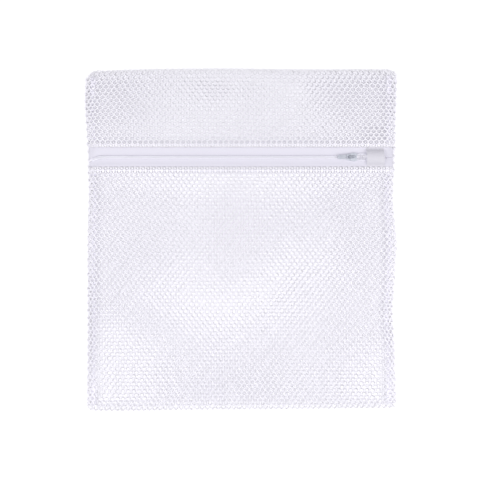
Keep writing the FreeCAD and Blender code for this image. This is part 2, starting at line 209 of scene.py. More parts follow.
def ripple(tree, place, pitch_mm, direction, wander=0.0):
    """Waves of that pitch in one direction."""
    wave_scale = 2 * math.pi / (WAVE_TURN * pitch_mm * MM)
    settings = {"bands_direction": direction, "wave_profile": "SIN"}
    inputs = {"Vector": place, "Scale": wave_scale, "Distortion": wander, "Detail": 1.0}
    return add(tree, "ShaderNodeTexWave", inputs, **settings).outputs["Fac"]


def grain(tree, scale, detail=2.0):
    """Random spots, that many to a metre."""
    inputs = {"Vector": object_place(tree), "Scale": scale, "Detail": detail}
    return add(tree, "ShaderNodeTexNoise", inputs).outputs["Fac"]


# %% Finishes of cloth and thread
LOOP, LOOP_WANDER, LOOP_HEIGHT = 0.8, 1.5, 0.2
PAINTED_LIGHT_GLOW = 0.19         # painted light: a faint glow that lifts the shade on the white yarn and thread
# Painted light: the tapes glow twice as much, which flattens the shade of the hems on them, and the elastic glows to
# lift the shade on its slopes.
TAPE_GLOW, ELASTIC_GLOW = 2 * PAINTED_LIGHT_GLOW, 0.2


def polyester_net():
    """Yarns of many fine filaments: matt, with soft loops of knitting, and a bloom at grazing angles."""
    made = finish("warp_knitted_polyester_net", "#EDECF3", 0.62, PAINTED_LIGHT_GLOW,
                  Sheen_Weight=0.25, Sheen_Roughness=0.5, IOR=1.57)
    loops = ripple(made[1], object_place(made[1]), LOOP, "DIAGONAL", LOOP_WANDER)
    return dress(made, grain(made[1], 9.0, 3.0), ("#E3E2E9", "#EFEEF3"), loops, LOOP_HEIGHT)


def woven(name, shades, pitch_mm, ribs_mm, depth_mm, glow):
    """A close flat weave: duller than the net, with picks along it and ribs across, placed by its own UV map."""
    made = finish(name, shades[1], 0.6, glow, "#F0EDFC", Sheen_Weight=0.2, IOR=1.57)
    uv = add(made[1], "ShaderNodeUVMap", uv_map="flat").outputs["UV"]
    picks = ripple(made[1], uv, pitch_mm, "X", 0.4)
    ribs = ripple(made[1], uv, ribs_mm, "Y")
    weave = add(made[1], "ShaderNodeMath", {0: picks, 1: ribs}, operation="MULTIPLY").outputs[0]
    # The weave's low places are coloured darker: painted shade in the weave.
    return dress(made, weave, shades, weave, depth_mm)


def twisted_thread(name, shades, glow):
    """Sewing thread: two soft plies whose twist shows as a slanting ripple."""
    made = finish(name, shades[1], 0.5, glow, Sheen_Weight=0.15, IOR=1.57)
    plies = ripple(made[1], object_place(made[1]), 0.5, "DIAGONAL")
    # The hollows between the plies are coloured darker: painted shade between them.
    return dress(made, plies, shades, plies, 0.06)


# %% Finishes of nylon and metal


def nylon_monofilament():
    """Drawn nylon: smooth, a little glassy and very light, with faint streaks."""
    made = finish("nylon_monofilament", "#E4E4EE", 0.32, IOR=1.53, Coat_Weight=0.1)
    streaks = grain(made[1], 700.0)
    return dress(made, streaks, ("#EDEDF4", "#F8F8FC"), streaks, 0.02)


def nickel_plate(name, shades, spot_scale):
    """Tumbled and plated metal: bright, with a fine orange peel, and darker spots where the plate is duller. On the
    crown, whose shades are far darker, the spots are painted shade.
    """
    made = finish(name, shades[1], 0.28, Metallic=1.0)
    _, tree, shader = made
    spots = grain(tree, spot_scale, 3.0)
    rough = add(tree, "ShaderNodeMapRange", {"Value": spots, "To Min": 0.5, "To Max": 0.28})
    tree.links.new(rough.outputs["Result"], shader.inputs["Roughness"])
    return dress(made, spots, shades, grain(tree, 900.0), 0.03)


NET_FINISH = polyester_net()
THREAD_FINISH = twisted_thread("spun_polyester_thread", ("#DDDBEA", "#F1EFF9"), PAINTED_LIGHT_GLOW)
# The thread in the coils' grooves is coloured grey and gets no glow: painted shade of the groove it lies in.
GROOVE_FINISH = twisted_thread("groove_thread_painted_shade", ("#9A99A4", "#B2B1BB"), 0.0)
COIL_FINISH = nylon_monofilament()
METAL_FINISH = nickel_plate("nickel_plated_zinc", ("#B3B7C3", "#E9ECF2"), 260.0)
# The crown is coloured far darker than the body: painted shade and dark reflections of the gaps round it.
SPRING_FINISH = nickel_plate("spring_steel_painted_shade", ("#5E626E", "#D5D9E2"), 420.0)
TAPE_FINISH = woven("woven_polyester_tape", ("#A7A6AE", "#B7B5BD"), 0.9, 1.2, 0.09, TAPE_GLOW)
ELASTIC_FINISH = woven("woven_elastic", ("#B7B6BC", "#C2C1C6"), 0.7, 0.9, 0.08, ELASTIC_GLOW)
print("finishes:", ", ".join(m.name for m in bpy.data.materials if m.name != table.name))

# %% [markdown]
# ## The shape of the lying bag
#
# The front of the bag is flat in the middle and slopes down to a folded rim all round. Cloth keeps its length over
# such a shape, so each place on the flat cut is found by the length along the cross-section. That keeps the holes of
# the net the same size on the slopes.

# %% Cross-sections
FOLD_RADIUS = 2.2
SIDE_SLOPE, SIDE_BLEND = math.radians(40), 6.0     # how steep it is there, and the radius that leads into it
END_SLOPE, END_BLEND = math.radians(8), 120.0
STEPS = 12


def ease(t):
    """From 0 to 1, smoothly."""
    t = np.clip(t, 0, 1)
    return t * t * (3 - 2 * t)


def run(points):
    """Cross-section points and the length along them to each."""
    points = np.array(points)
    steps = np.hypot(*np.diff(points, axis=0).T)
    return np.concatenate([[0], np.cumsum(steps)]), points


def arc(centre, radius, angles):
    return [(centre[0] + radius * math.cos(a), centre[1] + radius * math.sin(a)) for a in angles]


def cross_section(half, slope, blend, depth):
    """From the middle of the bag out to the widest point of its rim, that far below the skin."""
    centre = half - FOLD_RADIUS
    rim = (centre + FOLD_RADIUS * math.sin(slope), FOLD_RADIUS * (1 + math.cos(slope)))
    rise_end = BAG_HEIGHT - blend * (1 - math.cos(slope))
    flat = rim[0] - (rise_end - rim[1]) / math.tan(slope) - blend * math.sin(slope)
    upright, leaning = math.pi / 2, math.pi / 2 - slope
    points = [(0.0, BAG_HEIGHT - depth)]
    points += arc((flat, BAG_HEIGHT - blend), blend - depth, np.linspace(upright, leaning, STEPS + 1))
    points += arc((centre, FOLD_RADIUS), FOLD_RADIUS - depth, np.linspace(leaning, 0, STEPS + 1))
    return run(points)


ACROSS = cross_section(HALF_WIDTH, SIDE_SLOPE, SIDE_BLEND, NET / 2)
ALONG = cross_section(HALF_LENGTH, END_SLOPE, END_BLEND, NET / 2)
SKIN = cross_section(HALF_WIDTH, SIDE_SLOPE, SIDE_BLEND, 0)
print(f"front, from seam to seam: {2 * ACROSS[0][-1]:.1f} mm of net")

CHORD = 0.1               # between the two places that give the slope at a point


def lay(flat):
    """Takes points of the zipper, drawn as if the bag were flat to its edges, down onto the slope at its sides."""
    lengths, section = SKIN
    far = np.abs(flat[:, 0])
    ahead = np.minimum(far + CHORD / 2, lengths[-1])
    here, there = [
        np.stack([np.interp(s, lengths, section[:, i]) for i in (0, 1)], axis=1) for s in (ahead - CHORD, ahead)
    ]
    way = (there - here) / np.linalg.norm(there - here, axis=1)[:, None]
    depth = BAG_HEIGHT - flat[:, 2]
    out = (here[:, 0] + there[:, 0]) / 2 + depth * way[:, 1]
    up = (here[:, 1] + there[:, 1]) / 2 - depth * way[:, 0]
    sloping = far > section[1][0]
    laid = flat.copy()
    laid[:, 0] = np.where(sloping, np.sign(flat[:, 0]) * out, flat[:, 0])
    laid[:, 2] = np.where(sloping, up, flat[:, 2])
    return laid


# %% [markdown]
# ### Its outline
#
# A limp bag never lies quite square. Its sides draw in where the net is slack and bulge where the seams are tight,
# and the corners are blunt. One small shift of every soft point towards or away from the middle, strongest at the
# rim, gives that to all the layers alike and leaves the straight run of the zipper alone. The yarns of the net lie
# inside the cloth's skin, so an even swelling of each edge first brings the outline back to the bag's size.

# %% Settling the outline
RIM_POWER, RIM_LIMIT = 6, 1.02
EVEN_LEFT, EVEN_RIGHT, EVEN_END = (0, 900, 0.8), (0, 900, 2.2), (0, 900, 1.5)
LEFT_BULGES = [(136, 26, 2.4), (44, 24, -1.4), (-150, 30, 0.5), EVEN_LEFT]
RIGHT_BULGES = [(150, 28, 1.4), (44, 24, -2.0), (-4, 18, 1.6), (-72, 22, -2.3), (-158, 30, 1.2), EVEN_RIGHT]
TOP_BULGES = [(-26, 55, 0.8), (-145, 35, -1.5), EVEN_END]
BOTTOM_BULGES = [(-120, 60, 1.2), (150, 90, -1.6), EVEN_END]
BLUNT_REACH = 9.0         # how far from its tip a corner is blunted, and by how much
BLUNT_CORNERS = {(-1, 1): 2.6, (1, 1): 1.2, (-1, -1): 1.0, (1, -1): 1.2}


def bulges(place, swells):
    """Smooth swellings along an edge, each with its middle, its reach and its height."""
    return sum(height * np.exp(-((place - middle) / reach) ** 2) for middle, reach, height in swells)


def settle(points):
    x, y = points[:, 0], points[:, 1]
    side = np.minimum(np.abs(x) / HALF_WIDTH, RIM_LIMIT) ** RIM_POWER
    end = np.minimum(np.abs(y) / HALF_LENGTH, RIM_LIMIT) ** RIM_POWER
    out_x = np.where(x < 0, bulges(y, LEFT_BULGES), bulges(y, RIGHT_BULGES)) * side
    out_y = np.where(y > 0, bulges(x, TOP_BULGES), bulges(x, BOTTOM_BULGES)) * end
    for (sx, sy), blunt in BLUNT_CORNERS.items():
        near_x = ease((sx * x - HALF_WIDTH + BLUNT_REACH) / BLUNT_REACH)
        near_y = ease((sy * y - HALF_LENGTH + BLUNT_REACH) / BLUNT_REACH)
        out_x = out_x - blunt * near_x * near_y ** 2
        out_y = out_y - blunt * near_y * near_x ** 2
    settled = points.copy()
    settled[:, 0] += np.sign(x) * out_x
    settled[:, 1] += np.sign(y) * out_y
    return settled


# %% [markdown]
# ## Making and shaping
#
# Geometry Nodes lay out what repeats, on the flat, and the result is made a plain mesh. Its points are then moved to
# their place on the bag with arrays, all at once.

# %% Objects from trees


def grow(name, tree, **values):
    """Runs a Geometry Nodes tree and keeps its result as a plain mesh."""
    piece = placed(name, bpy.data.meshes.new(name))
    modifier = piece.modifiers.new("pattern", "NODES")
    modifier.node_group = tree
    for item in tree.interface.items_tree:
        if item.in_out == "INPUT":
            modifier[item.identifier] = values[item.name]
    graph = bpy.context.evaluated_depsgraph_get()
    mesh = bpy.data.meshes.new_from_object(piece.evaluated_get(graph), depsgraph=graph)
    piece.modifiers.clear()
    piece.data = mesh
    mesh.name = name
    return piece


def points_of(piece):
    flat = np.empty(len(piece.data.vertices) * 3)
    piece.data.vertices.foreach_get("co", flat)
    return flat.reshape(-1, 3) / MM


def place_points(piece, points):
    piece.data.vertices.foreach_set("co", (points * MM).ravel())
    piece.data.update()


def new_tree(name, **inputs):
    """An empty Geometry Nodes tree with inputs named for each kind of value, and its input and output nodes."""
    tree = bpy.data.node_groups.new(name, "GeometryNodeTree")
    for kind, labels in {**inputs, "Material": ["Material"]}.items():
        for label in labels:
            tree.interface.new_socket(label, in_out="INPUT", socket_type="NodeSocket" + kind)
    tree.interface.new_socket("Geometry", in_out="OUTPUT", socket_type="NodeSocketGeometry")
    return tree, add(tree, "NodeGroupInput").outputs, add(tree, "NodeGroupOutput")


def end_tree(tree, geometry, given, output):
    """The last steps of every tree: real faces, smooth, with their finish."""
    real = add(tree, "GeometryNodeRealizeInstances", {"Geometry": geometry})
    smooth = add(tree, "GeometryNodeSetShadeSmooth", {"Geometry": real.outputs[0]})
    finished = {"Geometry": smooth.outputs[0], "Material": given["Material"]}
    tree.links.new(add(tree, "GeometryNodeSetMaterial", finished).outputs[0], output.inputs[0])
    return tree


# %% [markdown]
# ## Net
#
# The net is warp-knitted: yarns run up the cloth, join in pairs, part, and join with the next one, which leaves
# six-sided holes in staggered rows. One hole with half of each yarn round it is the unit. A grid of points, every
# other row moved along by half a hole, repeats it, and merging the shared edges makes one closed body.

# %% One hole
CELL_WIDTH = 5.2
CELL_LENGTH = 7.1
JOINED = 1.9              # length over which two yarns run together
YARN = 1.1
YARN_DEPTH = 0.62
PAIRED = 1.25             # how much wider two joined yarns are than one
SLACK, BUNCHED = 1.3, 2.6     # how much wider yarns look where the cloth is slack, and where it is drawn together
ROUNDING = 0.87           # how far the corners of a hole are drawn in
UPRIGHT = 0.01
OUTLINE_AT = 12           # a hole's outline comes after its six corners above and its six below
WELD = 0.02               # points closer than that are one


def hole_outline(corners, yarn):
    """Twelve points round the hole: one at each corner, drawn in to round it, and one at each side."""
    sides = []
    for a, b in zip(corners, corners[1:] + corners[:1]):
        half_yarn = yarn * (PAIRED if abs(a[0] - b[0]) < UPRIGHT else 1.0) / 2
        side = b - a
        inward = np.array([-side[1], side[0]]) / np.linalg.norm(side)
        sides.append(((a + b) / 2 + inward * half_yarn, side))
    outline = []
    for (p, d), (q, e) in zip(sides[-1:] + sides, sides):
        t = np.linalg.solve(np.array([d, -e]).T, q - p)[0]
        outline += [(p + d * t) * ROUNDING, q]
    return outline


def one_hole(name, yarn):
    tip = CELL_LENGTH / 2 - JOINED / 2
    half = CELL_WIDTH / 2
    shape = [(0, tip), (-half, JOINED / 2), (-half, -JOINED / 2), (0, -tip), (half, -JOINED / 2), (half, JOINED / 2)]
    corners = [np.array(c) for c in shape]
    outline = hole_outline(corners, yarn)
    high = [(*c, YARN_DEPTH / 2) for c in corners]
    low = [(*c, -YARN_DEPTH / 2) for c in corners]
    edge = [(*p, 0.0) for p in outline]
    faces = []
    for k in range(6):
        n = (k + 1) % 6
        corner, middle, following = OUTLINE_AT + 2 * k, OUTLINE_AT + 2 * k + 1, OUTLINE_AT + 2 * n
        top = [(k, n, middle), (k, middle, corner), (n, following, middle)]
        faces += top + [tuple(i + 6 if i < 6 else i for i in reversed(face)) for face in top]
    mesh = bpy.data.meshes.new(name)
    mesh.from_pydata([tuple(c * MM for c in p) for p in high + low + edge], [], faces)
    return bpy.data.objects.new(name, mesh)


HOLE = one_hole("hole", YARN)
SLACK_HOLE = one_hole("slack_hole", YARN * SLACK)
BUNCHED_HOLE = one_hole("bunched_hole", YARN * BUNCHED)
print(f"one hole has {len(HOLE.data.polygons)} faces")

# %% The net's tree


def net_tree():
    tree, given, output = new_tree(
        "warp_knit_net", Object=["Hole"], Int=["Columns", "Rows", "First Row"], Float=["Hole Width", "Row Pitch"]
    )

    def maths(operation, a, b):
        return add(tree, "ShaderNodeMath", {0: a, 1: b}, operation=operation).outputs[0]

    grid = add(tree, "GeometryNodeMeshGrid", {
        "Size X": 0.0, "Size Y": 0.0, "Vertices X": given["Columns"], "Vertices Y": given["Rows"],
    })
    index = add(tree, "GeometryNodeInputIndex").outputs[0]
    column = maths("FLOOR", maths("DIVIDE", index, given["Rows"]), 0.0)
    row = maths("SUBTRACT", index, maths("MULTIPLY", column, given["Rows"]))
    odd = maths("MODULO", maths("ADD", row, given["First Row"]), 2.0)
    middle = maths("MULTIPLY", maths("SUBTRACT", given["Columns"], 0.5), 0.5)
    across = maths("MULTIPLY", maths("SUBTRACT", maths("ADD", column, maths("MULTIPLY", odd, 0.5)), middle),
                   given["Hole Width"])
    along = maths("MULTIPLY", row, given["Row Pitch"])
    place = add(tree, "ShaderNodeCombineXYZ", {"X": across, "Y": along, "Z": 0.0}).outputs[0]
    points = add(tree, "GeometryNodeSetPosition", {"Geometry": grid.outputs["Mesh"], "Position": place})
    hole = add(tree, "GeometryNodeObjectInfo", {"Object": given["Hole"]})
    holes = add(tree, "GeometryNodeInstanceOnPoints", {
        "Points": points.outputs[0], "Instance": hole.outputs["Geometry"],
    })
    real = add(tree, "GeometryNodeRealizeInstances", {"Geometry": holes.outputs[0]})
    knit = add(tree, "GeometryNodeMergeByDistance", {"Geometry": real.outputs[0], "Distance": WELD * MM})
    return end_tree(tree, knit.outputs[0], given, output)


NET_TREE = net_tree()

# %% Trimming and closing a net


def close_border(body):
    """Joins the upper and the lower rim wherever the net ends, so that its outer yarns have a side."""
    rim = [e for e in body.edges if e.is_boundary]

    def key(vert, high):
        return round(vert.co.x / MM, 2), round(vert.co.y / MM, 2), high

    at = {key(vert, vert.co.z > 0): vert for edge in rim for vert in edge.verts}
    for edge in rim:
        below = [at.get(key(vert, False)) for vert in edge.verts]
        if min(vert.co.z for vert in edge.verts) > 0 and None not in below and below[0] is not below[1]:
            low = dict(zip(edge.verts, below))
            first, second = edge.link_loops[0].vert, edge.link_loops[0].link_loop_next.vert
            body.faces.new((second, first, low[first], low[second]))


def cut_net(name, rows, first_row, half_cut, hole=HOLE):
    """A flat net whose rows start at that row of the whole cloth, cut to width at both sides."""
    columns = 2 * (int(half_cut / CELL_WIDTH) + 2)
    piece = grow(name, NET_TREE, **{
        "Hole": hole, "Columns": columns, "Rows": rows, "Hole Width": CELL_WIDTH * MM, "Row Pitch": ROW_PITCH * MM,
        "First Row": first_row % 2, "Material": NET_FINISH,
    })
    body = bmesh.new()
    body.from_mesh(piece.data)
    close_border(body)
    for side in (-1, 1):
        everything = body.verts[:] + body.edges[:] + body.faces[:]
        cut = bmesh.ops.bisect_plane(
            body, geom=everything, plane_co=(side * half_cut * MM, 0, 0), plane_no=(side, 0, 0), clear_outer=True
        )["geom_cut"]
        bmesh.ops.holes_fill(body, edges=[e for e in cut if isinstance(e, bmesh.types.BMEdge)], sides=0)
    bmesh.ops.remove_doubles(body, verts=body.verts[:], dist=WELD / 4 * MM)
    for face in body.faces:
        face.smooth = True
    body.to_mesh(piece.data)
    body.free()
    return piece


# %% [markdown]
# ## The cloth's path
#
# Along its length the net starts at the cut edge of the lower hem, turns over the hem's fold, runs down the front,
# round the bottom of the bag, up the back, round the top and down to the upper hem. Rows of holes are numbered along
# that one path, so they go on across every fold without a break.

# %% The path, from hem to hem
HEM_FOLD = NET / 2
TURN_POINTS = 9


def turned(centre, radius, start, end):
    return arc(centre, radius, np.linspace(math.radians(start), math.radians(end), TURN_POINTS))


def cloth_path():
    level = BAG_HEIGHT - NET
    front = ALONG[1][1:]
    fold_low = turned((HALF_LENGTH - FOLD_RADIUS, FOLD_RADIUS), FOLD_RADIUS - NET / 2, 0, -90)
    lower_fold, upper_fold = ZIP_Y - HEM_INNER - HEM_FOLD, ZIP_Y + HEM_INNER + HEM_FOLD
    path = [(ZIP_Y - HEM_OUTER, level - HEM_FOLD)]
    path += turned((lower_fold, level), HEM_FOLD, -90, 90)
    path += [(-y, z) for y, z in front]
    path += [(-y, z) for y, z in fold_low[1:]]
    path += [(y, z) for y, z in reversed(fold_low)]
    path += [tuple(p) for p in front[::-1]][1:]
    path += turned((upper_fold, level), HEM_FOLD, 90, 270)
    path.append((ZIP_Y + HEM_OUTER, level - HEM_FOLD))
    return run(path)


PATH_LENGTHS, PATH = cloth_path()
rim_places = [PATH_LENGTHS[np.argmin(np.hypot(PATH[:, 0] - s * (HALF_LENGTH - NET / 2), PATH[:, 1] - FOLD_RADIUS))]
              for s in (-1, 1)]
BACK_ROWS = round((rim_places[1] - rim_places[0]) / (CELL_LENGTH / 2))
ROW_PITCH = (rim_places[1] - rim_places[0]) / BACK_ROWS
print(f"cloth {PATH_LENGTHS[-1]:.0f} mm long, {BACK_ROWS} rows of holes on the back, {ROW_PITCH:.3f} mm apart")

# %% Slack and unevenness
# A soft knit is never square: handling and packing stretch it a little, one way here and another way there. Sums of
# a few long waves with fixed random phases do this smoothly, and shorter ones make each hole a little different.
# A set of waves is given by its seed, how many there are, and the shortest and the longest.
LONG_WAVES, SHORT_WAVES = (7, 90, 220), (10, 9, 26)
DRIFT, SHORT_DRIFT = 0.35, 0.05


def waves(seed, count, shortest, longest):
    """A smooth random field over the cloth, about 1 at its strongest."""
    random = np.random.default_rng(seed)
    lengths = random.uniform(shortest, longest, count)
    headings = random.uniform(0, 2 * math.pi, count)
    phases = random.uniform(0, 2 * math.pi, count)

    def field(u, v):
        total = np.zeros_like(u)
        for length, heading, phase in zip(lengths, headings, phases):
            total += np.sin(2 * math.pi * (u * math.cos(heading) + v * math.sin(heading)) / length + phase)
        return total / math.sqrt(count)

    return field


def uneven(u, v, seed):
    """How far each place of the cloth has slipped along it, across and lengthways."""
    return [waves(seed + axis, *LONG_WAVES)(u, v) * DRIFT + waves(seed + 10 + axis, *SHORT_WAVES)(u, v) * SHORT_DRIFT
            for axis in (0, 1)]


# %% Where a point of the cloth lies
CROSSING = 1.2            # over what height two slopes that meet are rounded
TURN_AT, TURN_RADIUS = HALF_WIDTH - FOLD_RADIUS, FOLD_RADIUS - NET / 2
REACH = 0.5               # how far to each side the cloth's direction is measured


def soft_min(a, b):
    """The lower of two heights, rounded where they cross."""
    gap = np.clip(0.5 + (b - a) / (2 * CROSSING), 0, 1)
    return b + (a - b) * gap - CROSSING * gap * (1 - gap)


def on_bag(u, v, front, relief):
    """The middle of the cloth's thickness at each place of the flat cut: u across it and v along its path."""
    lengths, section = ACROSS
    x = np.sign(u) * np.interp(np.abs(u), lengths, section[:, 0])
    side_height = np.interp(np.abs(u), lengths, section[:, 1])
    y = np.interp(v, PATH_LENGTHS, PATH[:, 0])
    path_height = np.interp(v, PATH_LENGTHS, PATH[:, 1])
    if front:
        level = BAG_HEIGHT - NET / 2
        in_hem = (np.abs(y - ZIP_Y) < HEM_OUTER + 1) & (path_height > level - 2 * NET)
        drop = np.where(in_hem, level - path_height, 0.0)
        height = soft_min(side_height, path_height + drop) - drop
    else:
        past = np.abs(u) - TURN_AT
        turn = np.clip(past / TURN_RADIUS, 0, math.pi / 2)
        x = np.where(past > 0, np.sign(u) * (TURN_AT + TURN_RADIUS * np.sin(turn)), u)
        height = np.maximum(FOLD_RADIUS - TURN_RADIUS * np.cos(turn), path_height)
    return np.stack([x, y, height + relief(x, y)], axis=1)


def shape_net(piece, start, front, relief, slip):
    """Lays a flat net along the path from start, and keeps each yarn's thickness square to the cloth."""
    flat = points_of(piece)
    u, v, thick = flat[:, 0], flat[:, 1] + start, flat[:, 2]
    across, along = slip(u, v)
    u, v = u + across, v + along
    middle = on_bag(u, v, front, relief)
    du = on_bag(u + REACH, v, front, relief) - on_bag(u - REACH, v, front, relief)
    dv = on_bag(u, v + REACH, front, relief) - on_bag(u, v - REACH, front, relief)
    normal = np.cross(du, dv)
    length = np.linalg.norm(normal, axis=1)[:, None]
    normal = normal / np.maximum(length, 1e-9)
    place_points(piece, settle(scallop(middle + normal * thick[:, None])))


# %% Scalloped edges
# Where the cloth is folded or sewn, each stiff pair of joined yarns stands out and each hole draws in.
SCALLOP_REACH = 4.0
END_SCALLOP, SIDE_SCALLOP = 1.1, 0.6
FIRST_HOLE = 0.25         # where the holes of the folded rows stand, as a share of one hole from the middle


def scallop(points):
    x, y = points[:, 0], points[:, 1]
    at_side = ease((np.abs(x) - HALF_WIDTH + SCALLOP_REACH) / SCALLOP_REACH)
    at_end = ease((np.abs(y) - HALF_LENGTH + SCALLOP_REACH) / SCALLOP_REACH)
    row = (y + HALF_LENGTH) / CELL_LENGTH + np.where(x < 0, 0.5, 0.0)
    points[:, 0] += np.sign(x) * at_side * SIDE_SCALLOP * np.cos(2 * math.pi * row)
    points[:, 1] -= np.sign(y) * at_end * END_SCALLOP * np.cos(2 * math.pi * (x / CELL_WIDTH - FIRST_HOLE))
    return points


# %% [markdown]
# ### How the two layers lie
#
# The bag was folded in four for its packet, so both layers keep a faint crease each way, and next to the creases
# the front has slipped over the back. It is this slip, a few millimetres over the length of the bag, that makes
# the bands of light and dark where the holes of one layer fall on the yarns of the other.

# %% Relief
CREASE_X, CREASE_Y = -2.0, 7.6
CREASE_WIDTH, CREASE_HEIGHT = 7.0, 0.7
SAG = 0.9                 # how far the front lies below the flat of the bag
FRONT_SWELLS, FRONT_DIMPLES = (31, 6, 60, 150), (32, 6, 24, 48)
SWELL, DIMPLE = 0.45, 0.12
BACK_SWELLS, BACK_LIFT = (41, 6, 40, 120), 0.35
FLAT_SIDE, FLAT_END, FLAT_HEM = 6, 8, 1       # how much of the cloth stays flat at its sides, its ends and the hems
RIM_EASE, HEM_EASE = 22.0, 16.0
OPENING_X, OPENING_LIFT, OPENING_REACH = 120.0, 4.0, (9.0, 8.0)   # the back rises under the open end of the zipper


def inner(x, y):
    """1 over the middle of the bag, falling to 0 at its rim and beside the zipper."""
    sides = ease((HALF_WIDTH - np.abs(x) - FLAT_SIDE) / RIM_EASE)
    ends = ease((HALF_LENGTH - np.abs(y) - FLAT_END) / RIM_EASE)
    return sides * ends * ease((np.abs(y - ZIP_Y) - HEM_OUTER - FLAT_HEM) / HEM_EASE)


def front_relief(x, y):
    sag = waves(*FRONT_SWELLS)(x, y) * SWELL + waves(*FRONT_DIMPLES)(x, y) * DIMPLE
    crease = np.exp(-((x - CREASE_X) / CREASE_WIDTH) ** 2) + np.exp(-((y - CREASE_Y) / CREASE_WIDTH) ** 2)
    return (sag - SAG + CREASE_HEIGHT * crease) * inner(x, y)


def back_relief(x, y):
    lift = BACK_LIFT + BACK_LIFT * waves(*BACK_SWELLS)(x, y)
    away = ((x - OPENING_X) / OPENING_REACH[0]) ** 2 + ((y - ZIP_Y) / OPENING_REACH[1]) ** 2
    return np.maximum(lift, 0.0) * inner(x, y) + OPENING_LIFT * np.exp(-away)


# %% Slip
STRETCH = 0.022           # how much more the front is stretched than the back
MATCHED = (62.0, 118.0)   # how far from the creases the holes of both layers fall on each other
CREASE_SLIP, CREASE_EASE = 0.7, 14.0
SKEW = 0.5                # how much of the stretch across the cloth also draws it lengthways
SEAM_EASE, FOLD_EASE, CUT_EASE = 25.0, 18.0, 30.0
LOOSE = 0.25              # the least share of the slip across that is left at a fold


def held_at_edges(u, v, slips):
    """Holds the slip to nothing where the cloth is sewn or folded."""
    seam = ease((ACROSS[0][-1] - np.abs(u)) / SEAM_EASE)
    folds = np.ones_like(v)
    for place in rim_places:
        folds *= ease(np.abs(v - place) / FOLD_EASE)
    for place in (0.0, PATH_LENGTHS[-1]):
        folds *= ease((np.abs(v - place) - HEM_OUTER) / CUT_EASE)
    return [slips[0] * seam * np.maximum(folds, LOOSE), slips[1] * folds]


def front_slip(u, v):
    across, along = uneven(u, v, 51)
    y = np.interp(v, PATH_LENGTHS, PATH[:, 0])
    off_x, off_y = np.abs(u - CREASE_X), np.abs(y - CREASE_Y)
    side = np.tanh((u - CREASE_X) / CREASE_EASE)
    across = across + side * (CREASE_SLIP + STRETCH * (off_x - MATCHED[0]))
    along = along + STRETCH * (off_y - MATCHED[1]) + SKEW * STRETCH * off_x
    return held_at_edges(u, v, [across, along])


def back_slip(u, v):
    return held_at_edges(u, v, uneven(u, v, 71))


# %% [markdown]
# ### Panels and hems
#
# A whole row of holes runs along each fold of the bag: the bottom one is the back's first row, and the top one the
# upper front's. The front panels end at the folds of the hems, and each hem at its cut edge. A net is mostly holes,
# so its area is that of its yarns: the share that they cover.

# %% Cut and lay the nets


def share_of_yarn(hole):
    """How much of the cloth its yarns cover, from the outline of one hole."""
    outline = np.array([v.co[:2] for v in hole.data.vertices][OUTLINE_AT:]) / MM
    x, y = outline.T
    hole = abs(np.dot(x, np.roll(y, -1)) - np.dot(y, np.roll(x, -1))) / 2
    return 1 - hole / (CELL_WIDTH * CELL_LENGTH / 2)


print(f"yarn covers {share_of_yarn(HOLE):.2f} of the net, {share_of_yarn(SLACK_HOLE):.2f} where it is slack")


def lay_net(name, node, first_row, rows, front, relief, slip, hole=HOLE):
    """A net between two rows of the cloth, in its place on the bag."""
    half_cut = ACROSS[0][-1] if front else TURN_AT + TURN_RADIUS * math.pi / 2
    piece = cut_net(name, rows, first_row, half_cut, hole)
    shape_net(piece, rim_places[0] + first_row * ROW_PITCH, front, relief, slip)
    belongs(piece, "net", node)
    return piece, (2 * half_cut * MM, rows * ROW_PITCH * MM)


def belongs(piece, slot, *nodes, body="bag"):
    """The piece stands for those nodes and moves with that body. Its slot is not used."""
    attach(piece, body)
    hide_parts(*nodes)
    triangles = sum(len(face.vertices) - 2 for face in piece.data.polygons)
    print(f"{piece.name}: {triangles} triangles, stands for {', '.join(nodes)}")


lower_fold_place = (PATH_LENGTHS[1] + PATH_LENGTHS[TURN_POINTS]) / 2
upper_fold_place = PATH_LENGTHS[-1] - lower_fold_place
LOWER_ROWS = round((rim_places[0] - lower_fold_place) / ROW_PITCH - 0.5)      # half of the row on the fold
UPPER_ROWS = round((upper_fold_place - rim_places[1]) / ROW_PITCH + 0.5)
HEM_ROWS = round(lower_fold_place / ROW_PITCH)

back, back_cut = lay_net("net_back", "back_panel", 0, BACK_ROWS, False, back_relief, back_slip)
front_shape = (True, front_relief, front_slip)
lower, lower_cut = lay_net("net_front_lower", "front_lower_panel", -LOWER_ROWS, LOWER_ROWS, *front_shape)
upper, upper_cut = lay_net("net_front_upper", "front_upper_panel", BACK_ROWS, UPPER_ROWS, *front_shape, SLACK_HOLE)
hem_lower, _ = lay_net("net_hem_lower", "lower_hem", -LOWER_ROWS - HEM_ROWS, HEM_ROWS, *front_shape, BUNCHED_HOLE)
hem_upper, _ = lay_net("net_hem_upper", "upper_hem", BACK_ROWS + UPPER_ROWS, HEM_ROWS, *front_shape, BUNCHED_HOLE)

# %% [markdown]
# ## Side seams
#
# The sides are sewn inside out and then turned. So the cut edges of each seam lie inside as a narrow double strip of
# net. An overlock wraps them: loops of thread close together round the edge, and a row of straight stitches at the
# seam itself. A tree lays out the loops, as it does every row of stitches.

# %% Trees for stitches


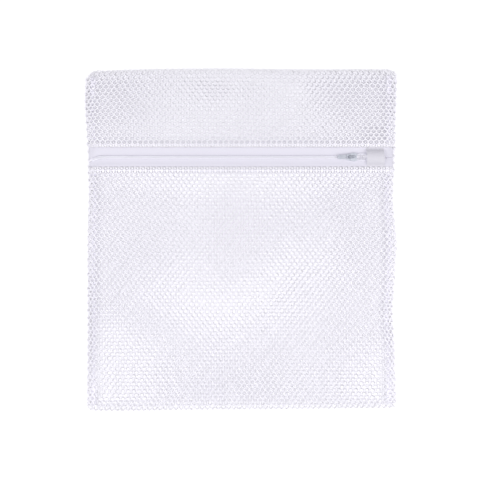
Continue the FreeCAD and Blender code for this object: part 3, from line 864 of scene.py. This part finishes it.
def row_tree(name, lengths, item):
    """A tree that repeats an item along X, turned by the slant. The item gives its shape and its size."""
    tree, given, output = new_tree(name, Int=["Count"], Float=["Pitch", "Thread", "Slant", *lengths])
    step = add(tree, "ShaderNodeCombineXYZ", {"X": given["Pitch"], "Y": 0.0, "Z": 0.0}).outputs[0]
    line = add(tree, "GeometryNodeMeshLine", {"Count": given["Count"], "Offset": step})
    turn = add(tree, "ShaderNodeCombineXYZ", {"X": 0.0, "Y": 0.0, "Z": given["Slant"]}).outputs[0]
    shape, size = item(tree, given)
    row = add(tree, "GeometryNodeInstanceOnPoints", {
        "Points": line.outputs["Mesh"], "Instance": shape, "Scale": size, "Rotation": turn,
    })
    return end_tree(tree, row.outputs[0], given, output)


def stitch(tree, given):
    """A straight stitch: a thread that rises from the cloth and goes back into it."""
    size = add(tree, "ShaderNodeCombineXYZ", {"X": given["Length"], "Y": given["Thread"], "Z": given["Thread"]})
    bead = add(tree, "GeometryNodeMeshUVSphere", {"Segments": 8, "Rings": 5, "Radius": 0.5})
    return bead.outputs["Mesh"], size.outputs[0]


def oval_wire(tree, curve, height, width, thickness, sides, caps=False):
    """A round wire along a curve of radius 0.5 about Z, pressed to an oval and turned to run along X."""
    size = add(tree, "ShaderNodeCombineXYZ", {"X": height, "Y": width, "Z": 1.0}).outputs[0]
    upright = add(tree, "GeometryNodeTransform", {
        "Geometry": curve.outputs["Curve"], "Scale": size, "Rotation": (0.0, math.pi / 2, 0.0),
    })
    section = add(tree, "GeometryNodeCurvePrimitiveCircle", {"Resolution": sides, "Radius": thickness})
    return add(tree, "GeometryNodeCurveToMesh", {
        "Curve": upright.outputs[0], "Profile Curve": section.outputs["Curve"], "Fill Caps": caps,
    }).outputs["Mesh"]


def overlock_loop(tree, given):
    """A loop of thread round an edge that runs along X."""
    oval = add(tree, "GeometryNodeCurvePrimitiveCircle", {"Resolution": 12, "Radius": 0.5})
    return oval_wire(tree, oval, given["Height"], given["Reach"], given["Thread"], 5), (1.0, 1.0, 1.0)


STITCHES = row_tree("row_of_stitches", ["Length"], stitch)
LOOPS = row_tree("overlock_loops", ["Reach", "Height"], overlock_loop)


def sew(name, count, pitch, length, thread, slant, material=THREAD_FINISH):
    """A row of stitches along X, with sizes in millimetres."""
    return grow(name, STITCHES, Count=int(count), Pitch=pitch * MM, Length=length * MM, Thread=thread * MM,
                Slant=slant, Material=material)


# %% Joining parts of one piece


def join(name, parts):
    """One mesh object from several that have the same finish."""
    body = bmesh.new()
    for part in parts:
        body.from_mesh(part.data)
    first = parts[0]
    body.to_mesh(first.data)
    body.free()
    for part in parts[1:]:
        bpy.data.objects.remove(part)
    first.name = name
    return first


# %% Seam allowances
allowance_low, allowance_high = box_mm("right_seam_allowance")
SEAM_HALF = allowance_high[1]
SEAM_AT = HALF_WIDTH - NET / 2
EDGE_AT = allowance_low[0]
ALLOWANCE = SEAM_AT - EDGE_AT
STAND, STAND_POWER = 4.6, 0.8     # how far the springy cut edges stand up inside the bag, and how they get there
PRESSED, PRESSED_REACH = 1.5, 18.0    # how much of that the zipper presses down, and how far from it
LAYERS = (1.42, 2.3)      # where the two layers lie
SPREAD = 2.5              # how far from the seam they part
SWAY_WAVES, SWAY = (5, 20, 70), 0.35


def standing(along):
    return STAND - PRESSED * np.exp(-((along - ZIP_Y) / PRESSED_REACH) ** 2)


def seam_strip(name, side, level, seed):
    """One layer of the allowance, from the seam in to its cut edge."""
    rows = round(2 * SEAM_HALF / ROW_PITCH) - 1
    strip = cut_net(name, rows, seed, ALLOWANCE / 2, BUNCHED_HOLE)
    points = points_of(strip)
    along = points[:, 1] - points[:, 1].mean()
    inward = ALLOWANCE / 2 - side * points[:, 0]
    sway = waves(seed, *SWAY_WAVES)(np.zeros_like(along), along) * SWAY
    x = side * (SEAM_AT - inward - sway * inward / ALLOWANCE)
    rise = standing(along) * np.clip(inward / ALLOWANCE, 0, 1) ** STAND_POWER
    middle = FOLD_RADIUS + (level - FOLD_RADIUS) * ease(inward / SPREAD) + rise
    place_points(strip, settle(np.stack([x, along, middle + points[:, 2]], axis=1)))
    return strip


# %% Overlock
LOOP_PITCH, LOOP_REACH = 2.0, 4.6
SEAM_THREAD = 0.15
LOOP_SHAPES = {"": (2.3, 0.22), "_return": (2.2, -0.5)}   # height and slant of the loops, there and back
SEAM_STITCH = (2.3, 0.34, 0.06)       # length, thread and slant
PAST_EDGE, LOOP_RISE = 0.4, 0.9
STITCH_IN, STITCH_UP = 0.9, 0.1


def overlock(name, side):
    """Loops round both layers at the cut edge, and the straight stitches of the seam."""
    count = int(2 * SEAM_HALF / LOOP_PITCH)
    rows = [grow(name + end, LOOPS, Count=count, Pitch=LOOP_PITCH * MM, Reach=LOOP_REACH * MM, Height=height * MM,
                 Thread=SEAM_THREAD * MM, Slant=slant, Material=THREAD_FINISH)
            for end, (height, slant) in LOOP_SHAPES.items()]
    rows.append(sew(name + "_seam", count, LOOP_PITCH, *SEAM_STITCH))
    at_edge = (EDGE_AT + LOOP_REACH / 2 - PAST_EDGE, (allowance_low[2] + allowance_high[2]) / 2, LOOP_RISE)
    places = [at_edge, at_edge, (SEAM_AT - STITCH_IN, FOLD_RADIUS + STITCH_UP, 0.0)]
    for part, (x, z, raised) in zip(rows, places):
        points = points_of(part)
        along = points[:, 0] - points[:, 0].mean()
        up = z + raised * standing(along) + points[:, 2]
        place_points(part, settle(np.stack([side * (x + points[:, 1]), along, up], axis=1)))
        if side > 0:
            part.data.flip_normals()
    return join(name, rows)


seam_pieces = []
for side, hand in ((-1, "left"), (1, "right")):
    layers = [seam_strip(f"layer_{n}", side, level, 90 + n) for n, level in enumerate(LAYERS)]
    allowance = join(f"net_seam_allowance_{hand}", layers)
    belongs(allowance, "net", f"{hand}_seam_allowance")
    thread = overlock(f"overlock_thread_{hand}", side)
    belongs(thread, "thread", f"{hand}_overlock_thread")
    seam_pieces += [allowance, thread]

# %% [markdown]
# ## Zipper
#
# A coil zipper is nylon monofilament wound round a cord and sewn along the edge of a woven tape. Its loops are the
# teeth. Left of the slider the chain is closed. Right of it the coils run apart, and both tapes disappear into the
# side seams.

# %% The zipper's line
slider_low, slider_high = box_mm("slider_body")
SLIDER_X = (slider_low[0] + slider_high[0]) / 2
OPENING_START, OPENING_LENGTH = SLIDER_X - 4.0, 12.5
CHAIN_OPENING, TAPE_OPENING = 2.2, 1.5
TAPE_INNER = tape_low[1] - ZIP_Y
TAPES_MEET = (137.0, 9.0)  # where the tapes start to draw together again under the pocket, and over what length
DRAWN_TO = 0.9            # how much of the gap between them that closes
LEFT_DIP = 3.2            # how far the zipper's left end drops
SLIDER_REACH = 134.0      # how far left the slider comes
SEAM_START, SEAM_DEPTH = 139.0, 0.85      # where the zipper starts to go down into the seams, and by what share


def parting(x, opening=CHAIN_OPENING):
    """How far each side stands off its closed place."""
    return opening * ease((x - OPENING_START) / OPENING_LENGTH)


def tape_parting(x):
    """The same for the tapes, which the seam at the end of the zipper holds edge to edge."""
    meeting = ease((x - TAPES_MEET[0]) / TAPES_MEET[1])
    return parting(x, TAPE_OPENING) * (1 - meeting) - TAPE_INNER * DRAWN_TO * meeting


def zip_dip(x):
    """The zipper's left end drops a little where the seam pulls it, past the slider's last place."""
    return -LEFT_DIP * ease((-x - SLIDER_REACH) / (HALF_WIDTH - SLIDER_REACH))


def on_zipper(points, side, apart=parting):
    """Places points drawn outwards from the zipper's centre line, on its upper or its lower side."""
    flat = points.copy()
    x = flat[:, 0]
    into_seam = ease((np.abs(x) - SEAM_START) / (HALF_WIDTH - SEAM_START))
    flat[:, 2] += (BAG_HEIGHT - NET - flat[:, 2]) * into_seam * SEAM_DEPTH
    flat[:, 1] = ZIP_Y + zip_dip(x) + side * (points[:, 1] + apart(x))
    return settle(lay(flat))


def lay_row(piece, points, side, apart=parting):
    """Lays a row on one side of the zipper. The lower side is a mirror image, so its faces turn over."""
    place_points(piece, on_zipper(points, side, apart))
    if side < 0:
        piece.data.flip_normals()


def moved(piece, middle, offset, level):
    """The points of a row along X with its middle at that place beside the zipper's line."""
    points = points_of(piece)
    return points + (middle - points[:, 0].mean(), offset, level)


# %% A woven strip


def strip(name, top, bottom, flat, material):
    """A closed strip from two grids of points, its upper and lower faces, with their place on the flat as UV."""
    rows, columns = top.shape[:2]
    body = bmesh.new()
    up, down = [[[body.verts.new(p * MM) for p in row] for row in grid] for grid in (top, bottom)]
    where = {grid[i][j]: flat[i, j] * MM for grid in (up, down) for i in range(rows) for j in range(columns)}
    faces = []
    for i in range(rows - 1):
        for j in range(columns - 1):
            faces.append((up[i][j], up[i + 1][j], up[i + 1][j + 1], up[i][j + 1]))
            faces.append((down[i][j], down[i][j + 1], down[i + 1][j + 1], down[i + 1][j]))
        faces.append((up[i][0], down[i][0], down[i + 1][0], up[i + 1][0]))
        faces.append((up[i][-1], up[i + 1][-1], down[i + 1][-1], down[i][-1]))
    for j in range(columns - 1):
        faces.append((up[0][j], up[0][j + 1], down[0][j + 1], down[0][j]))
        faces.append((up[-1][j], down[-1][j], down[-1][j + 1], up[-1][j + 1]))
    uv_layer = body.loops.layers.uv.new("flat")
    for verts in faces:
        face = body.faces.new(verts)
        face.smooth = True
        for loop in face.loops:
            loop[uv_layer].uv = where[loop.vert]
    bmesh.ops.recalc_face_normals(body, faces=body.faces[:])
    mesh = bpy.data.meshes.new(name)
    body.to_mesh(mesh)
    body.free()
    mesh.materials.append(material)
    return placed(name, mesh)


# %% Tapes
# The weave is thick enough to see as ribs where it is stiff, along the coil and at the selvedge.
TAPE_REACH = tape_high[1] - ZIP_Y
TAPE_THICK = 0.45
TAPE_END = 150.4
TAPE_STEP = 1.3
TAPE_ROWS = np.concatenate([np.linspace(0.0, 0.3, 6), np.linspace(0.4, 1.0, 12)])     # closer along the coil
HEM_LIFT, HEM_RISE = 0.7, (3.5, 5)    # how far the hems draw the tape up against them, and from where
BUCKLE_WAVES, BUCKLE, BUCKLE_RISE = (6, 9, 34), 0.1, (3.2, 4)
RIB_HEIGHT = 0.035
SELVEDGE, SELVEDGE_IN, SELVEDGE_WIDTH = 0.05, 0.6, 0.5
CLEARANCE = 0.02          # keeps a skin off the one that it lies against


def tape(side):
    along = np.linspace(-TAPE_END, TAPE_END, int(2 * TAPE_END / TAPE_STEP))
    x, share = np.meshgrid(along, TAPE_ROWS, indexing="ij")
    y = TAPE_INNER + share * (TAPE_REACH - TAPE_INNER - tape_parting(x))
    ribs = RIB_HEIGHT * np.cos(math.pi * share * (len(TAPE_ROWS) - 1))
    buckle = waves(81 + side, *BUCKLE_WAVES)(x, y) * BUCKLE * ease((y - BUCKLE_RISE[0]) / BUCKLE_RISE[1])
    buckle += HEM_LIFT * ease((y - HEM_RISE[0]) / HEM_RISE[1])
    lift = ribs + buckle + SELVEDGE * np.exp(-((y - TAPE_REACH + SELVEDGE_IN) / SELVEDGE_WIDTH) ** 2)
    surfaces = []
    for level, waver in ((TAPE_TOP, lift), (TAPE_TOP - TAPE_THICK, buckle)):
        grid = np.stack([x.ravel(), y.ravel(), (level + waver).ravel() - CLEARANCE], axis=1)
        surfaces.append(on_zipper(grid, side, tape_parting).reshape(*x.shape, 3))
    return surfaces, np.stack([x, y], axis=-1)


hand_names = {1: "upper", -1: "lower"}
for side, hand in hand_names.items():
    (top, bottom), flat = tape(side)
    piece = strip(f"zipper_tape_{hand}_woven", top, bottom, flat, TAPE_FINISH)
    belongs(piece, "tape", f"zipper_tape_{hand}")

# %% Coils
# A flattened helix of round filament, one turn to a tooth. The two coils are mirror images, half a tooth apart.
TOOTH_PITCH = 1.5
FILAMENT = 0.34
COIL_INNER, COIL_OUTER = -0.5, 2.05
COIL_LEFT, COIL_RIGHT = -147.0, 138.0
COIL_RUN = COIL_RIGHT - COIL_LEFT
COIL_MIDDLE = (COIL_LEFT + COIL_RIGHT) / 2
COIL_HEIGHT = COIL_TOP - TAPE_TOP
SEWN_AT = 1.55            # where the sewing thread presses a groove into the loops
GROOVE_WIDTH, GROOVE_DEPTH = 0.36, 0.7


def coil_tree():
    tree, given, output = new_tree("zipper_coil", Float=["Turns", "Pitch", "Width", "Height", "Filament"])
    length = add(tree, "ShaderNodeMath", {0: given["Turns"], 1: given["Pitch"]}, operation="MULTIPLY").outputs[0]
    helix = add(tree, "GeometryNodeCurveSpiral", {
        "Resolution": 12, "Rotations": given["Turns"], "Start Radius": 0.5, "End Radius": 0.5, "Height": length,
    })
    wound = oval_wire(tree, helix, given["Height"], given["Width"], given["Filament"], 6, caps=True)
    return end_tree(tree, wound, given, output)


COIL_TREE = coil_tree()
for side, hand in hand_names.items():
    piece = grow(f"nylon_coil_{hand}", COIL_TREE, Turns=COIL_RUN / TOOTH_PITCH, Pitch=TOOTH_PITCH * MM,
                 Width=(COIL_OUTER - COIL_INNER - 2 * FILAMENT) * MM, Height=(COIL_HEIGHT - 2 * FILAMENT) * MM,
                 Filament=FILAMENT * MM, Material=COIL_FINISH)
    middle = COIL_MIDDLE + (TOOTH_PITCH / 2 if side < 0 else 0.0)
    points = moved(piece, middle, (COIL_INNER + COIL_OUTER) / 2, TAPE_TOP + COIL_HEIGHT / 2)
    groove = GROOVE_DEPTH * np.exp(-((points[:, 1] - SEWN_AT) / GROOVE_WIDTH) ** 2)
    points[:, 2] -= groove * ease((points[:, 2] - TAPE_TOP) / COIL_HEIGHT)
    lay_row(piece, points, side)
    belongs(piece, "coil", f"zipper_coil_{hand}")

# %% Cords inside the coils, and the thread along them
CORD_AT = 1.1
CORD_RADIUS = 0.42
CORD_STEP = 2.0
COIL_STITCH = (TOOTH_PITCH, 1.45, 0.36, 0.12)     # pitch, length, thread and slant
HEM_STITCH = (3.0, 2.6, 0.42, 0.05)


def core_cord(name, side):
    """The round cord inside a coil, for its whole length."""
    stations = np.arange(COIL_LEFT, COIL_RIGHT + 1, CORD_STEP)
    level = TAPE_TOP + COIL_HEIGHT / 2
    line = np.stack([stations, np.full_like(stations, CORD_AT), np.full_like(stations, level)], axis=1)
    data = bpy.data.curves.new(name, "CURVE")
    data.dimensions = "3D"
    data.bevel_depth = CORD_RADIUS * MM
    data.bevel_resolution = 1
    data.use_fill_caps = True
    spline = data.splines.new("POLY")
    spline.points.add(len(stations) - 1)
    for point, place in zip(spline.points, on_zipper(line, side) * MM):
        point.co = (*place, 1.0)
    drawn = placed(name, data)
    mesh = bpy.data.meshes.new_from_object(drawn)
    bpy.data.objects.remove(drawn)
    mesh.materials.append(THREAD_FINISH)
    return placed(name, mesh)


for side, hand in hand_names.items():
    core = core_cord(f"core_cord_{hand}", side)
    belongs(core, "thread", f"coil_core_cord_{hand}")
    sewn = sew(f"coil_stitches_{hand}", COIL_RUN / TOOTH_PITCH, *COIL_STITCH, GROOVE_FINISH)
    lay_row(sewn, moved(sewn, COIL_MIDDLE, SEWN_AT, COIL_TOP - GROOVE_DEPTH), side)
    belongs(sewn, "thread", f"coil_thread_{hand}")

# %% Topstitching on the hems
stitch_low, stitch_high = box_mm("upper_topstitch")
TOPSTITCH_AT = (stitch_low[1] + stitch_high[1]) / 2 - ZIP_Y
for side, hand in hand_names.items():
    row = sew(f"hem_stitches_{hand}", 2 * TAPE_END / HEM_STITCH[0], *HEM_STITCH)
    lay_row(row, moved(row, 0.0, TOPSTITCH_AT, BAG_HEIGHT - CLEARANCE), side, np.zeros_like)
    belongs(row, "thread", f"{hand}_topstitch")

# %% [markdown]
# ## Slider pocket
#
# A short piece of woven elastic arches over the open end of the zipper. The slider is pushed under it when the bag
# is closed, so that its tab can't catch in the wash. Its two ends lie between hem and tape, and the upper one runs on
# under the net. Elastic has rubber threads along it, which stand out as ribs.

# %% The elastic strip
pocket_low, pocket_high = box_mm("slider_pocket")
ELASTIC = 0.5
POCKET_SPAN = 9.8
FOOT_RADIUS = 4.0
POCKET_RISE = pocket_high[2] - pocket_low[2] - ELASTIC
RIB_PITCH = 0.9
RIDGE = 0.06
LEAN = 0.065              # how far the strip leans to the right for each millimetre towards its lower end
WAVER_WAVES, WAVER, CROWN_WAVER = (95, 4, 12, 30), 0.15, 0.02
FOOT_STEPS, CREST_STEPS, TAIL_STEP = 7, 16, 1.2


def pocket_line():
    """The arch's middle line, from the lower tail over the zipper to the upper tail, and which way is up there."""
    level = pocket_low[2] + ELASTIC / 2
    centres = (POCKET_SPAN ** 2 + POCKET_RISE ** 2) / (2 * POCKET_RISE)
    crest_radius = centres - FOOT_RADIUS
    crest_z = level + POCKET_RISE - crest_radius
    lean = math.acos((centres - POCKET_RISE) / centres)
    half = [
        (POCKET_SPAN - FOOT_RADIUS * math.sin(a), level + FOOT_RADIUS * (1 - math.cos(a)), math.sin(a), math.cos(a))
        for a in np.linspace(lean, 0, FOOT_STEPS)
    ]
    crest = [
        (crest_radius * math.sin(a), crest_z + crest_radius * math.cos(a), math.sin(a), math.cos(a))
        for a in np.linspace(-lean, lean, CREST_STEPS)[1:-1]
    ]
    line = []
    for sign, end in ((-1, ZIP_Y - pocket_low[1]), (1, pocket_high[1] - ZIP_Y)):
        tail = [(y, level, 0.0, 1.0) for y in np.arange(POCKET_SPAN + TAIL_STEP, end, TAIL_STEP)]
        leg = [(sign * y, z, sign * ny, nz) for y, z, ny, nz in half + tail + [(end, level, 0.0, 1.0)]]
        line += leg[::-1] + crest if sign < 0 else leg
    return np.array(line)


def pocket():
    line = pocket_line()
    ribs = round((pocket_high[0] - pocket_low[0]) / RIB_PITCH)
    across = np.linspace(pocket_low[0], pocket_high[0], 4 * ribs + 1)
    waver = waves(*WAVER_WAVES)
    surfaces = []
    for face in (1, -1):
        x, i = np.meshgrid(across, np.arange(len(line)))
        offset = face * (ELASTIC / 2 + RIDGE * np.cos(2 * math.pi * (x - pocket_low[0]) / RIB_PITCH))
        y = line[i, 0] + line[i, 2] * offset
        z = line[i, 1] + line[i, 3] * offset
        x = x + waver(np.zeros_like(x), y) * WAVER - LEAN * (y - POCKET_SPAN)
        z = z + waver(x, y) * CROWN_WAVER * np.maximum(z - pocket_low[2] - 1, 0)
        surfaces.append(np.stack([x, ZIP_Y + y, z], axis=-1))
    steps = np.hypot(*np.diff(line[:, :2], axis=0).T)
    length = np.concatenate([[0], np.cumsum(steps)])
    flat = np.stack([np.broadcast_to(length[:, None], x.shape), np.broadcast_to(across, x.shape)], axis=-1)
    return surfaces, flat, length[-1]


(top, bottom), flat, elastic_length = pocket()
pocket_piece = strip("slider_pocket_elastic", top, bottom, flat, ELASTIC_FINISH)
belongs(pocket_piece, "elastic", "slider_pocket")
print(f"elastic strip {elastic_length:.0f} mm long")

# %% [markdown]
# ## Metal parts
#
# The slider's body, its crown and the pull tab keep their CAD shapes and take their metal finishes.

# %% Metal parts
for node, metal in (("slider_body", METAL_FINISH), ("slider_crown", SPRING_FINISH), ("pull_tab", METAL_FINISH)):
    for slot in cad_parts[node].material_slots:
        slot.material = metal
